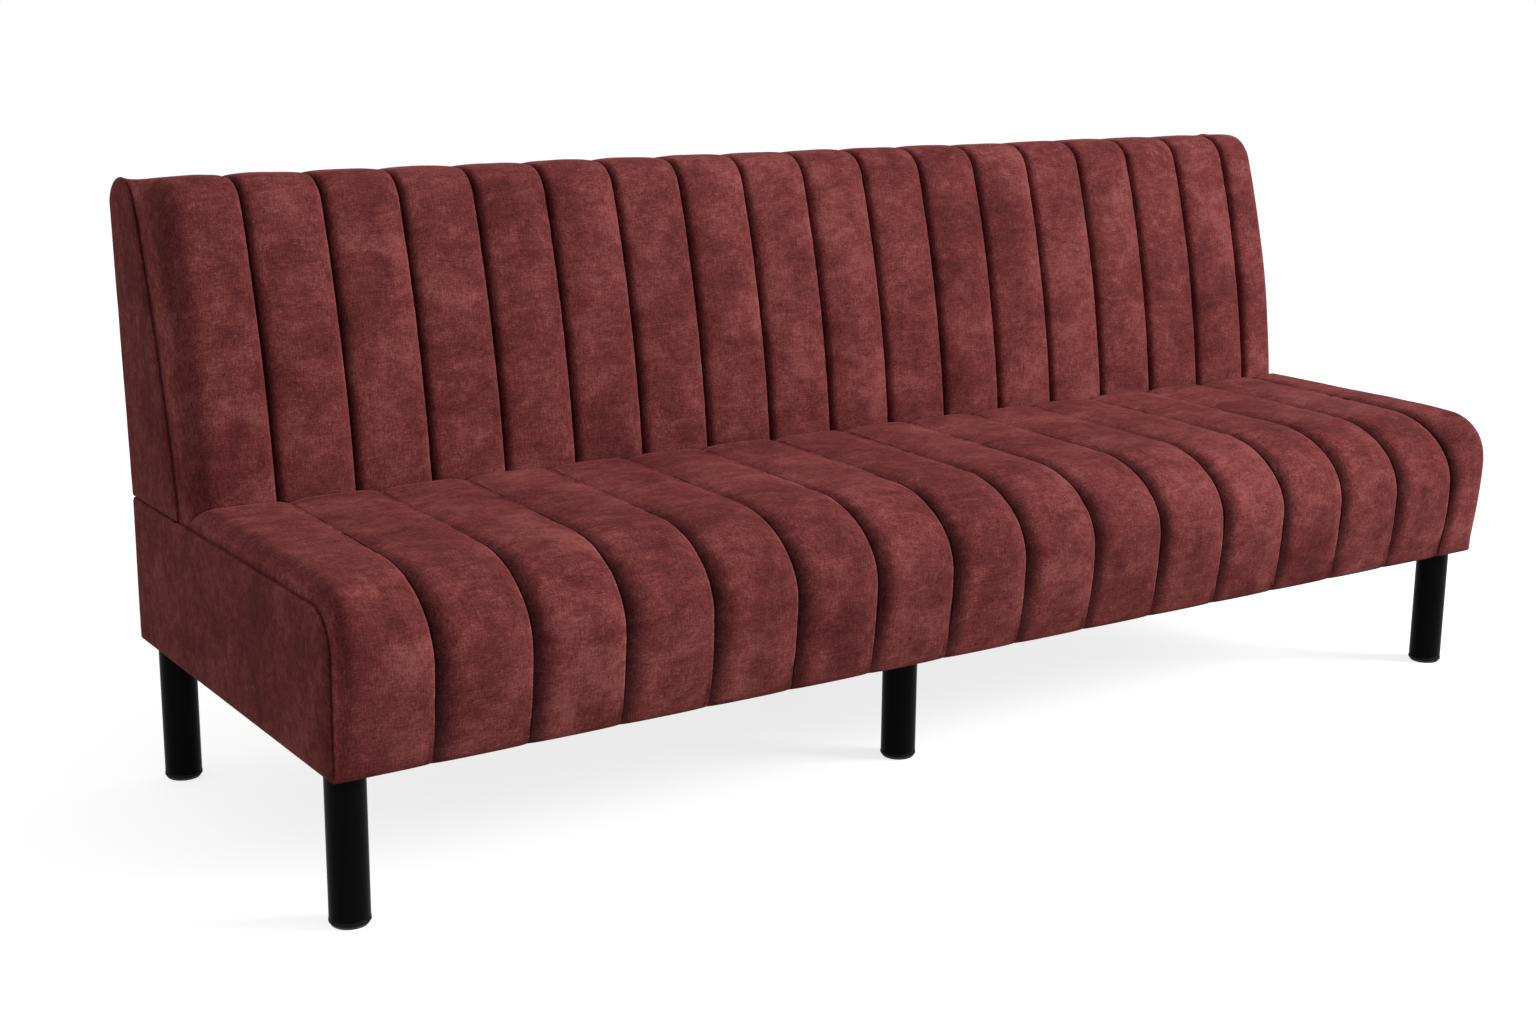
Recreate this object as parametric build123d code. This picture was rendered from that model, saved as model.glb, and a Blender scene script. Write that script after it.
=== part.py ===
from build123d import *
import math
import os

# Restaurant bench: a seat and a reclined back with sewn channels, on a wooden
# carcass and six round steel legs whose feet screw out to level the bench.
# Millimetres. X runs along the bench to its right, +Y to its back, +Z up. The
# origin is on the floor, under the middle of the whole bench. Each piece is
# drawn with its depth counted from the front line of the base's side covers
# and then moved back by one common distance.

# Overall sizes
bench_length = 2000.0
back_foot_depth = 432.0
back_foot_thickness = 235.0
underside_height = 195.0
parting_height = 398.0
back_top_height = 832.0

# Clearances
soft_gap = 0.3
running_clearance = 0.05
drill_clearance = 0.25
foot_gap = 0.5
cut_overrun = 5.0

# Covers
side_cover_thickness = 6.0
side_cover_edge_radius = 3.0
rear_cover_thickness = 3.0
dust_cover_thickness = 1.0

# Carcass of the base
front_padding = 10.0
rail_thickness = 25.0
cross_rail_thickness = 22.0
leg_board_width = 120.0
leg_board_thickness = 18.0
corner_block_leg = 50.0
deck_thickness = 18.0
deck_front_inset = 4.5
vent_hole_radius = 12.5
vent_hole_inset = 130.0
vent_hole_pitch = 240.0

# Seat upholstery. The seat's section rolls over at its front edge round one
# centre, and its seams, crowns and sewn ends differ mainly in radius.
seat_channel_count = 16
seat_last_channel = 89.0
seat_roll_depth = 76.0
seat_end_radius = 80.0
seat_seam_radius = 100.0
seat_crown = 9.0
seat_corner_drop = 5.0
seat_seam_tuck = 26.0
seat_crown_tuck = 33.0
seat_end_tuck = 3.0
seat_foam_cover = 18.0
seat_foam_thickness = 35.4
seat_foam_roll = 55.0

# Back upholstery. A seam rises from the seat, reclines from its knee to its
# shoulder, rolls over the top and rounds down into the rear. The crowns stand
# proud of it, and the sewn ends stand behind it, more so at the shoulder.
back_first_channel = 122.0
back_last_channel = 94.0
back_channel_count = 18
back_knee_rise = 27.0
back_shoulder_drop = 28.0
back_bulge = 9.0
back_rear_drop = 36.0
back_rear_radius = 20.0
back_foot_crown = 4.0
back_face_crown = 9.0
back_bulge_crown = 3.0
back_top_crown = 8.0
back_end_foot_setback = 42.0
back_end_shoulder_setback = 70.0
back_end_drop = 4.0
back_corner_setback = 8.0
back_corner_drop = 3.0
back_foam_depth = 78.0

# The crown of an end channel carries on to a corner this far from the sewn end
end_corner_inset = 20.0

# Slopes of the back's front and rear, as depth over height
back_recline = 0.2245
back_rear_slope = 0.0665

# Carcass of the back
back_board_thickness = 18.0
back_panel_thickness = 9.0
rib_thickness = 22.0
rib_spacing = 500.0
middle_rib_count = 3
top_board_chamfer = 17.0

# Bolts that hold the back on the base
back_bolt_radius = 4.0
back_bolt_head_radius = 9.0
back_bolt_head_height = 4.5
back_bolt_tail = 4.0
back_bolt_inset = 90.0
nut_radius = 7.5
nut_height = 6.5

# Legs
leg_diameter = 50.0
leg_wall = 2.0
leg_end_inset = 38.0
leg_front_inset = 43.5
leg_rear_inset = 43.5
middle_leg_shift = -64.0
middle_leg_inset = 151.0
top_plug_height = 6.0
leg_stud_radius = 5.0
leg_stud_length = 16.0
thread_insert_height = 30.0
tee_nut_barrel_radius = 6.5
tee_nut_barrel_length = 14.0
tee_nut_flange_radius = 12.0
tee_nut_flange_thickness = 1.5

# Levelling feet
foot_disc_height = 6.0
foot_disc_chamfer = 1.0
foot_screw_radius = 5.0
foot_screw_tail = 2.5
foot_screw_chamfer = 1.0
foot_travel = 15.0
glide_radius = 23.0
glide_height = 3.0
glide_chamfer = 1.0
glide_pin_radius = 5.0
glide_pin_length = 3.5
glide_pin_end_gap = 0.5

# Heights that follow from the sizes
seat_roll_height = parting_height - seat_end_radius
seat_foam_top = parting_height - seat_foam_cover
deck_top = seat_foam_top - seat_foam_thickness - soft_gap
rail_top = deck_top - deck_thickness
frame_bottom = underside_height + dust_cover_thickness + soft_gap
leg_board_top = frame_bottom + leg_board_thickness
back_board_top = deck_top + back_board_thickness
back_knee_height = parting_height + back_knee_rise
back_shoulder_height = back_top_height - back_shoulder_drop
back_inner_top = back_top_height - back_rear_drop
top_board_top = back_inner_top - soft_gap
top_board_bottom = top_board_top - back_board_thickness
back_cover_bottom = parting_height + soft_gap
disc_bottom = glide_height + soft_gap
disc_top = disc_bottom + foot_disc_height
tube_bottom = disc_top + foot_gap
foot_screw_top = tube_bottom + thread_insert_height + foot_travel + foot_screw_tail

# Depths that follow from the sizes, counted from the front line
base_depth = back_foot_depth + back_foot_thickness
back_recline_depth = back_recline * (back_shoulder_height - back_knee_height)
rear_reach = base_depth + back_rear_slope * (back_inner_top - parting_height)
carcass_rear = base_depth - rear_cover_thickness - soft_gap
rail_rear = front_padding + rail_thickness
rear_rail_front = carcass_rear - rail_thickness
seat_crown_radius = seat_seam_radius + seat_crown
front_overhang = seat_crown_radius - seat_roll_depth
back_inner_depth = back_foot_depth + back_foam_depth
panel_front = back_inner_depth + soft_gap
panel_depth = back_panel_thickness * math.hypot(1, back_recline)
rib_front = panel_front + panel_depth
seat_rear_depth = back_foot_depth - back_foot_crown - back_face_crown - soft_gap
depth_shift = -(rear_reach - front_overhang) / 2

# Lengths that follow from the sizes, counted from the middle
half_length = bench_length / 2
half_carcass = half_length - side_cover_thickness - soft_gap
leg_end = half_length - leg_end_inset
rear_leg_depth = base_depth - leg_rear_inset
corner_place = half_carcass - end_corner_inset
seat_channel_pitch = (bench_length - seat_last_channel) / (seat_channel_count - 1)
back_channel_pitch = (bench_length - back_first_channel - back_last_channel) / (back_channel_count - 2)

# Names and places of the six legs: along the bench, and behind the front line
leg_places = {
    "front_left": (-leg_end, leg_front_inset),
    "front_middle": (middle_leg_shift, middle_leg_inset),
    "front_right": (leg_end, leg_front_inset),
    "rear_left": (-leg_end, rear_leg_depth),
    "rear_middle": (middle_leg_shift, base_depth - middle_leg_inset),
    "rear_right": (leg_end, rear_leg_depth),
}


def block(x_low, x_high, y_low, y_high, z_low, z_high):
    """Rectangular board between two corners"""
    size = Box(x_high - x_low, y_high - y_low, z_high - z_low)
    middle = ((x_low + x_high) / 2, (y_low + y_high) / 2, (z_low + z_high) / 2)
    return Pos(*middle) * size


def rod(radius, z_low, z_high, place=(0, 0)):
    """Upright round bar"""
    height = z_high - z_low
    return Pos(place[0], place[1], z_low + height / 2) * Cylinder(radius, height)


def side_face(lines, x):
    """Face across the bench from lines drawn in depth and height"""
    return Plane.YZ.offset(x) * make_face(Curve() + lines)


def polygon_lines(points):
    """Closed outline of straight lines"""
    return [Line(a, b) for a, b in zip(points, points[1:] + points[:1])]


def plate_between(lines, x_low, x_high):
    """Plate of a side outline, from one place along the bench to another"""
    return extrude(side_face(lines, x_low), x_high - x_low)


def quarter_point(centre, radius):
    """Middle of the quarter arc at the upper front of a circle"""
    reach = radius * math.sqrt(1 / 2)
    return (centre[0] - reach, centre[1] + reach)


# Seat


def seat_outer_lines(radius, tuck, rear):
    """Outside of the seat's section, from its rear top to its lower front edge"""
    top = seat_roll_height + radius
    front = seat_roll_depth - radius
    centre = (seat_roll_depth, seat_roll_height)
    return [
        Line((rear, top), (seat_roll_depth, top)),
        ThreePointArc((seat_roll_depth, top), quarter_point(centre, radius), (front, seat_roll_height)),
        TangentArc((front, seat_roll_height), (front + tuck, underside_height), tangent=(0, -1)),
    ]


def seat_section(x, radius, tuck, rear):
    """Closed section of the seat cushion at one place along the bench"""
    inner_front = front_padding - soft_gap
    inner_top = seat_foam_top + soft_gap
    centre = (inner_front + seat_foam_roll, inner_top - seat_foam_roll)
    lower_front = (seat_roll_depth - radius + tuck, underside_height)
    lines = seat_outer_lines(radius, tuck, rear) + [
        Line(lower_front, (inner_front, underside_height)),
        Line((inner_front, underside_height), (inner_front, centre[1])),
        ThreePointArc((inner_front, centre[1]), quarter_point(centre, seat_foam_roll), (centre[0], inner_top)),
        Line((centre[0], inner_top), (rear, inner_top)),
        Line((rear, inner_top), (rear, seat_roll_height + radius)),
    ]
    return side_face(lines, x)


def seat_seam_places():
    """Places of the seat's seams; the last channel takes what is left"""
    inner = [seat_channel_pitch * n - half_length for n in range(1, seat_channel_count)]
    return [-half_carcass] + inner + [half_carcass]


def seat_seam(x):
    """Section at a seam"""
    return seat_section(x, seat_seam_radius, seat_seam_tuck, seat_rear_depth)


def seat_crown_section(x):
    """Section at the crown of a channel"""
    return seat_section(x, seat_crown_radius, seat_crown_tuck, seat_rear_depth)


def seat_corner(x):
    """Section where an end channel starts to turn down to its sewn end"""
    rear = seat_rear_depth + back_corner_setback
    return seat_section(x, seat_crown_radius - seat_corner_drop, seat_crown_tuck, rear)


def seat_end(x):
    """Section at the sewn end of the cushion"""
    rear = seat_rear_depth + back_end_foot_setback
    return seat_section(x, seat_end_radius, seat_end_tuck, rear)


def channelled(places, seam, crown, corner, end):
    """One cushion of channels, each lofted from a seam over its crown to the next seam"""
    middles = [(left + right) / 2 for left, right in zip(places, places[1:])]
    first = [end(places[0]), corner(-corner_place), crown(middles[0]), seam(places[1])]
    last = [seam(places[-2]), crown(middles[-1]), corner(corner_place), end(places[-1])]
    channels = [loft(first)]
    for n in range(1, len(middles) - 1):
        channels.append(loft([seam(places[n]), crown(middles[n]), seam(places[n + 1])]))
    return loft(last).fuse(*channels)


def seat_cushion():
    """Channelled layer over the seat and down its front"""
    return channelled(seat_seam_places(), seat_seam, seat_crown_section, seat_corner, seat_end)


def seat_foam():
    """Plain foam layer on the deck, rounded at its front top edge"""
    top = seat_foam_top
    centre = (front_padding + seat_foam_roll, top - seat_foam_roll)
    low = deck_top + soft_gap
    drop = low - centre[1]
    front_low = centre[0] - math.sqrt(seat_foam_roll**2 - drop**2)
    angle = math.radians(90) + math.acos(drop / seat_foam_roll) / 2
    middle = (centre[0] + seat_foam_roll * math.cos(angle), centre[1] + seat_foam_roll * math.sin(angle))
    lines = [
        Line((seat_rear_depth, low), (seat_rear_depth, top)),
        Line((seat_rear_depth, top), (centre[0], top)),
        ThreePointArc((centre[0], top), middle, (front_low, low)),
        Line((front_low, low), (seat_rear_depth, low)),
    ]
    return plate_between(lines, -half_carcass, half_carcass)


def seat_side(sign):
    """Padded cover on an end of the base"""
    lines = seat_outer_lines(seat_end_radius, seat_end_tuck, base_depth) + [
        Line((seat_roll_depth - seat_end_radius + seat_end_tuck, underside_height), (base_depth, underside_height)),
        Line((base_depth, underside_height), (base_depth, parting_height)),
    ]
    return soft_end_plate(lines, sign)


def soft_end_plate(lines, sign):
    """End cover of an outline, with its outer edges rounded over"""
    inner = half_length - side_cover_thickness
    low, high = sorted((sign * inner, sign * half_length))
    plate = plate_between(lines, low, high)
    outer_face = plate.faces().sort_by(Axis.X)[-1 if sign > 0 else 0]
    return fillet(outer_face.edges(), side_cover_edge_radius)


# Base carcass


def leg_board_span(name):
    """Ends of a leg board along the bench"""
    if name == "middle":
        return middle_leg_shift - leg_board_width / 2, middle_leg_shift + leg_board_width / 2
    if name == "left":
        return -half_carcass, leg_board_width - half_carcass
    return half_carcass - leg_board_width, half_carcass


def leg_board(name):
    """Board across the bottom that legs are screwed to"""
    low, high = leg_board_span(name)
    board = block(low, high, front_padding, carcass_rear, frame_bottom, leg_board_top)
    barrel = tee_nut_barrel_radius + running_clearance
    flange = tee_nut_flange_radius + drill_clearance
    for place in leg_places.values():
        if low < place[0] < high:
            board -= rod(barrel, frame_bottom - cut_overrun, leg_board_top, place)
            seat = leg_board_top - tee_nut_flange_thickness
            board -= rod(flange, seat, leg_board_top + cut_overrun, place)
    return board


def long_rail(y_low):
    """Rail along the bench, notched over the leg boards"""
    y_high = y_low + rail_thickness
    rail = block(-half_carcass, half_carcass, y_low, y_high, frame_bottom, rail_top)
    for name in ("left", "middle", "right"):
        low, high = leg_board_span(name)
        rail -= block(low, high, y_low - cut_overrun, y_high + cut_overrun, frame_bottom - cut_overrun, leg_board_top)
    return rail


def cross_board(x_low, thickness, z_low):
    """Rail from the front rail to the rear rail"""
    return block(x_low, x_low + thickness, rail_rear, rear_rail_front, z_low, rail_top)


def cross_rail(middle, z_low):
    """Rail across the base between its ends"""
    return cross_board(middle - cross_rail_thickness / 2, cross_rail_thickness, z_low)


def corner_blocks():
    """Triangular blocks glued in the corners of the base"""
    x_edge = half_carcass - rail_thickness
    blocks = []
    for x_sign in (-1, 1):
        for y_corner, y_sign in ((rail_rear, 1), (rear_rail_front, -1)):
            corner = (x_sign * x_edge, y_corner)
            along = (corner[0] - x_sign * corner_block_leg, y_corner)
            across = (corner[0], y_corner + y_sign * corner_block_leg)
            face = make_face(Curve() + polygon_lines([corner, along, across]))
            blocks.append(extrude(Plane.XY.offset(leg_board_top) * face, rail_top - leg_board_top, dir=(0, 0, 1)))
    return Compound(blocks)


def vent_places():
    """Places of the deck's air holes, in two rows"""
    count = int(2 * half_carcass / vent_hole_pitch)
    start = -vent_hole_pitch * (count - 1) / 2
    rows = (front_padding + vent_hole_inset, seat_rear_depth - vent_hole_inset)
    return [(start + vent_hole_pitch * n, y) for n in range(count) for y in rows]


def middle_rib_places():
    """Places of the ribs between the two end ribs"""
    start = -rib_spacing * (middle_rib_count - 1) / 2
    return [start + rib_spacing * n for n in range(middle_rib_count)]


def back_bolt_places():
    """Places of the bolts between the back and the base, midway between ribs"""
    end_rib = half_carcass - rib_thickness / 2
    ribs = [-end_rib] + middle_rib_places() + [end_rib]
    depth = carcass_rear - back_bolt_inset
    return [((left + right) / 2, depth) for left, right in zip(ribs, ribs[1:])]


def cut_holes(board, places, radius, z_low, z_high):
    """Board with round holes through it"""
    for place in places:
        board -= rod(radius, z_low - cut_overrun, z_high + cut_overrun, place)
    return board


def seat_deck():
    """Plywood deck over the whole base"""
    front = front_padding + deck_front_inset
    deck = block(-half_carcass, half_carcass, front, carcass_rear, rail_top, deck_top)
    deck = cut_holes(deck, vent_places(), vent_hole_radius, rail_top, deck_top)
    hole = back_bolt_radius + drill_clearance
    return cut_holes(deck, back_bolt_places(), hole, rail_top, deck_top)


def dust_cover():
    """Thin sheet that closes the underside, with holes for the legs"""
    top = underside_height + dust_cover_thickness
    sheet = block(-half_carcass, half_carcass, front_padding, carcass_rear, underside_height, top)
    hole = leg_diameter / 2 + foot_gap
    return cut_holes(sheet, leg_places.values(), hole, underside_height, top)


def base_rear_cover():
    """Covered board on the rear of the base"""
    front = base_depth - rear_cover_thickness
    return block(-half_carcass, half_carcass, front, base_depth, underside_height, parting_height)


# Back


def recline_at(height):
    """Depth that the recline reaches at a height above the knee"""
    return back_recline * (height - back_knee_height)


def rear_line(height):
    """Depth of the back's rear face at a height"""
    rise = height - parting_height
    return base_depth + back_rear_slope * rise


def rear_rounding(top_point):
    """Where the arc over the top meets the rear's rounding, and the tangent there"""
    lean = math.atan(back_rear_slope)
    centre_depth = rear_reach - back_rear_radius * math.cos(lean)
    centre_height = back_inner_top + back_rear_radius * math.sin(lean)
    run = centre_depth - top_point[0]
    drop = top_point[1] - centre_height
    radius = (run**2 + drop**2 - back_rear_radius**2) / (2 * (drop - back_rear_radius))
    turn = math.atan2(run, radius - drop)
    point = (top_point[0] + radius * math.sin(turn), top_point[1] - radius * (1 - math.cos(turn)))
    return point, (math.cos(turn), -math.sin(turn))


def back_outer_lines(foot, shoulder, top, bulge, low):
    """Outside of the back's section, from its foot over its top to its rear edge"""
    knee_point = (foot, back_knee_height)
    shoulder_point = (shoulder, back_shoulder_height)
    chord_rise = back_shoulder_height - back_knee_height
    chord = math.hypot(shoulder - foot, chord_rise)
    slope = math.atan2(shoulder - foot, chord_rise) + 2 * math.atan(2 * bulge / chord)
    top_rise = top - back_shoulder_height
    top_run = top_rise * math.tan((slope + math.radians(90)) / 2)
    top_point = (shoulder + top_run, top)
    rear_point, rear_tangent = rear_rounding(top_point)
    return [
        Line((foot, low), knee_point),
        SagittaArc(knee_point, shoulder_point, bulge),
        TangentArc(shoulder_point, top_point, tangent=(math.sin(slope), math.cos(slope))),
        TangentArc(top_point, rear_point, tangent=(1, 0)),
        TangentArc(rear_point, (rear_reach, back_inner_top), tangent=rear_tangent),
    ]


def back_section(x, foot, shoulder, top, bulge):
    """Closed section of the back cushion at one place along the bench"""
    low = deck_top + soft_gap
    bevel_low = back_inner_top - back_board_thickness
    inner_shoulder = (back_inner_depth + recline_at(bevel_low), bevel_low)
    chamfer_end = (inner_shoulder[0] + top_board_chamfer, back_inner_top)
    inner_points = [
        (rear_reach, back_inner_top),
        chamfer_end,
        inner_shoulder,
        (back_inner_depth, back_knee_height),
        (back_inner_depth, low),
        (foot, low),
    ]
    lines = back_outer_lines(foot, shoulder, top, bulge, low)
    lines += [Line(a, b) for a, b in zip(inner_points, inner_points[1:])]
    return side_face(lines, x)


def back_seam_places():
    """Places of the back's seams; the last channel takes what is left"""
    start = back_first_channel - half_length
    inner = [start + back_channel_pitch * n for n in range(back_channel_count - 1)]
    return [-half_carcass] + inner + [half_carcass]


def back_seam(x):
    """Section at a seam"""
    shoulder = back_foot_depth + back_recline_depth
    return back_section(x, back_foot_depth, shoulder, back_top_height, back_bulge)


def back_crown_section(x):
    """Section at the crown of a channel"""
    foot = back_foot_depth - back_foot_crown
    shoulder = back_foot_depth + back_recline_depth - back_face_crown
    return back_section(x, foot, shoulder, back_top_height + back_top_crown, back_bulge + back_bulge_crown)


def back_corner(x):
    """Section where an end channel starts to turn back to its sewn end"""
    foot = back_foot_depth - back_foot_crown + back_corner_setback
    shoulder = back_foot_depth + back_recline_depth - back_face_crown + back_corner_setback
    top = back_top_height + back_top_crown - back_corner_drop
    return back_section(x, foot, shoulder, top, back_bulge + back_bulge_crown)


def back_end_sizes():
    """Foot, shoulder, top and bulge of the back's sewn end"""
    foot = back_foot_depth + back_end_foot_setback
    shoulder = back_foot_depth + back_recline_depth + back_end_shoulder_setback
    return foot, shoulder, back_top_height - back_end_drop, back_bulge


def back_end(x):
    """Section at the sewn end of the cushion"""
    return back_section(x, *back_end_sizes())


def back_cushion():
    """Channelled front and top of the back"""
    return channelled(back_seam_places(), back_seam, back_crown_section, back_corner, back_end)


def back_side(sign):
    """Padded cover on an end of the back"""
    foot = back_end_sizes()[0]
    lines = back_outer_lines(*back_end_sizes(), back_cover_bottom)
    rear_low = (rear_line(back_cover_bottom), back_cover_bottom)
    lines += [Line((rear_reach, back_inner_top), rear_low), Line(rear_low, (foot, back_cover_bottom))]
    return soft_end_plate(lines, sign)


def back_rear_cover():
    """Covered board on the rear of the back"""
    top = back_inner_top - soft_gap
    low = back_cover_bottom
    points = [
        (rear_line(low) - rear_cover_thickness, low),
        (rear_line(low), low),
        (rear_line(top), top),
        (rear_line(top) - rear_cover_thickness, top),
    ]
    return plate_between(polygon_lines(points), -half_carcass, half_carcass)


def carcass_rear_line(height):
    """Depth of the wood behind the rear cover at a height"""
    return rear_line(height) - rear_cover_thickness - soft_gap


def rib_lines():
    """Outline of a rib of the back"""
    top = top_board_bottom
    points = [
        (rib_front, back_board_top),
        (carcass_rear, back_board_top),
        (carcass_rear, parting_height),
        (carcass_rear_line(top), top),
        (rib_front + recline_at(top), top),
        (rib_front, back_knee_height),
    ]
    return polygon_lines(points)


def back_rib(x_low):
    """One upright rib"""
    return plate_between(rib_lines(), x_low, x_low + rib_thickness)


def back_bottom_board():
    """Board that the ribs stand on, bolted to the deck"""
    board = block(-half_carcass, half_carcass, rib_front, carcass_rear, deck_top, back_board_top)
    hole = back_bolt_radius + drill_clearance
    return cut_holes(board, back_bolt_places(), hole, deck_top, back_board_top)


def back_kick_board():
    """Upright strip below the reclined panel"""
    rear = panel_front + back_panel_thickness
    return block(-half_carcass, half_carcass, panel_front, rear, deck_top, back_knee_height)


def back_panel():
    """Reclined plywood panel behind the back cushion"""
    low, top = back_knee_height, top_board_bottom
    points = [
        (panel_front, low),
        (panel_front + panel_depth, low),
        (panel_front + panel_depth + recline_at(top), top),
        (panel_front + recline_at(top), top),
    ]
    return plate_between(polygon_lines(points), -half_carcass, half_carcass)


def back_top_board():
    """Board along the top of the back, with its front edge bevelled"""
    low, high = top_board_bottom, top_board_top
    front = panel_front + recline_at(low)
    points = [
        (front, low),
        (carcass_rear_line(low), low),
        (carcass_rear_line(high), high),
        (front + top_board_chamfer, high),
    ]
    return plate_between(polygon_lines(points), -half_carcass, half_carcass)


def back_bolts():
    """Coach bolts through the back's bottom board and the deck"""
    bolts = []
    low = rail_top - nut_height - back_bolt_tail
    for place in back_bolt_places():
        shank = rod(back_bolt_radius, low, back_board_top, place)
        head_top = back_board_top + back_bolt_head_height
        head = rod(back_bolt_head_radius, back_board_top, head_top, place)
        head = fillet(head.edges().group_by(Axis.Z)[-1], back_bolt_head_height * 2 / 3)
        bolts.append(shank + head)
    return Compound(bolts)


def back_bolt_nuts():
    """Hexagon nuts under the deck"""
    nuts = []
    bore = back_bolt_radius + running_clearance
    low = rail_top - nut_height
    for place in back_bolt_places():
        hexagon = extrude(Pos(place[0], place[1], low) * RegularPolygon(nut_radius, 6), nut_height)
        nuts.append(hexagon - rod(bore, low - cut_overrun, rail_top + cut_overrun, place))
    return Compound(nuts)


# Legs and feet


def leg_tube(place):
    """Round steel tube"""
    outer = rod(leg_diameter / 2, tube_bottom, frame_bottom, place)
    return outer - rod(leg_diameter / 2 - leg_wall, tube_bottom - cut_overrun, frame_bottom + cut_overrun, place)


def leg_top_plug(place):
    """Disc in the top of a tube, with the stud that screws into the tee nut"""
    radius = leg_diameter / 2 - leg_wall - running_clearance
    disc = rod(radius, frame_bottom - top_plug_height, frame_bottom, place)
    return disc + rod(leg_stud_radius, frame_bottom, frame_bottom + leg_stud_length, place)


def leg_thread_insert(place):
    """Plug in the bottom of a tube, threaded for the foot's screw"""
    radius = leg_diameter / 2 - leg_wall - running_clearance
    high = tube_bottom + thread_insert_height
    bore = foot_screw_radius + running_clearance
    plug = rod(radius, tube_bottom, high, place)
    return plug - rod(bore, tube_bottom - cut_overrun, high + cut_overrun, place)


def leg_tee_nut(place):
    """Tee nut let into the top of a leg board"""
    low = leg_board_top - tee_nut_barrel_length
    seat = leg_board_top - tee_nut_flange_thickness
    nut = rod(tee_nut_barrel_radius, low, leg_board_top, place)
    nut += rod(tee_nut_flange_radius, seat, leg_board_top, place)
    bore = leg_stud_radius + running_clearance
    return nut - rod(bore, low - cut_overrun, leg_board_top + cut_overrun, place)


def foot_screw(place):
    """Knurled disc turned by hand, with the screw that lifts the leg"""
    disc = rod(leg_diameter / 2, disc_bottom, disc_top, place)
    disc = chamfer(disc.edges(), foot_disc_chamfer)
    screw = rod(foot_screw_radius, disc_top, foot_screw_top, place)
    screw = chamfer(screw.edges().group_by(Axis.Z)[-1], foot_screw_chamfer)
    bore_top = glide_height + glide_pin_length + glide_pin_end_gap
    bore = glide_pin_radius + running_clearance
    return disc + screw - rod(bore, disc_bottom - cut_overrun, bore_top, place)


def foot_glide(place):
    """Pad that stands still on the floor while the disc turns on its pin"""
    pad = rod(glide_radius, 0, glide_height, place)
    pad = chamfer(pad.edges().group_by(Axis.Z)[0], glide_chamfer)
    return pad + rod(glide_pin_radius, glide_height, glide_height + glide_pin_length, place)


def leg_group(maker):
    """One node that holds the same small piece of every leg"""
    return Compound([maker(place) for place in leg_places.values()])


def base_parts():
    """Pieces of the base by name"""
    end = half_carcass
    return {
        "front_rail": long_rail(front_padding),
        "rear_rail": long_rail(rear_rail_front),
        "end_rail_left": cross_board(-end, rail_thickness, leg_board_top),
        "end_rail_right": cross_board(end - rail_thickness, rail_thickness, leg_board_top),
        "cross_rail_left": cross_rail(middle_rib_places()[0], frame_bottom),
        "cross_rail_middle": cross_rail(middle_leg_shift, leg_board_top),
        "cross_rail_right": cross_rail(middle_rib_places()[-1], frame_bottom),
        "leg_board_left": leg_board("left"),
        "leg_board_middle": leg_board("middle"),
        "leg_board_right": leg_board("right"),
        "corner_blocks": corner_blocks(),
        "seat_deck": seat_deck(),
        "seat_foam": seat_foam(),
        "seat_cushion": seat_cushion(),
        "seat_side_left": seat_side(-1),
        "seat_side_right": seat_side(1),
        "base_rear_cover": base_rear_cover(),
        "dust_cover": dust_cover(),
    }


def back_parts():
    """Pieces of the back by name"""
    ribs = {"back_rib_%d" % (n + 2): back_rib(x - rib_thickness / 2) for n, x in enumerate(middle_rib_places())}
    return {
        "back_rib_1": back_rib(-half_carcass),
        **ribs,
        "back_rib_%d" % (len(ribs) + 2): back_rib(half_carcass - rib_thickness),
        "back_bottom_board": back_bottom_board(),
        "back_kick_board": back_kick_board(),
        "back_panel": back_panel(),
        "back_top_board": back_top_board(),
        "back_cushion": back_cushion(),
        "back_side_left": back_side(-1),
        "back_side_right": back_side(1),
        "back_rear_cover": back_rear_cover(),
        "back_bolts": back_bolts(),
        "back_bolt_nuts": back_bolt_nuts(),
    }


def leg_parts():
    """Pieces of the legs by name"""
    parts = {
        "leg_top_plugs": leg_group(leg_top_plug),
        "leg_thread_inserts": leg_group(leg_thread_insert),
        "leg_tee_nuts": leg_group(leg_tee_nut),
    }
    for name, place in leg_places.items():
        parts["leg_tube_" + name] = leg_tube(place)
        parts["foot_screw_" + name] = foot_screw(place)
        parts["foot_glide_" + name] = foot_glide(place)
    return parts


os.makedirs("parts", exist_ok=True)
for node, shape in {**base_parts(), **back_parts(), **leg_parts()}.items():
    export_step(Pos(0, depth_shift, 0) * shape, os.path.join("parts", node + ".step"))
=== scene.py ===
"""Looks of the restaurant bench: channelled velvet cushions, padded covers and
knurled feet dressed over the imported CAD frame. Metres, +X right, +Z up."""

import math

import bmesh
import bpy
import numpy as np
from mathutils import Matrix, Vector, noise


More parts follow.
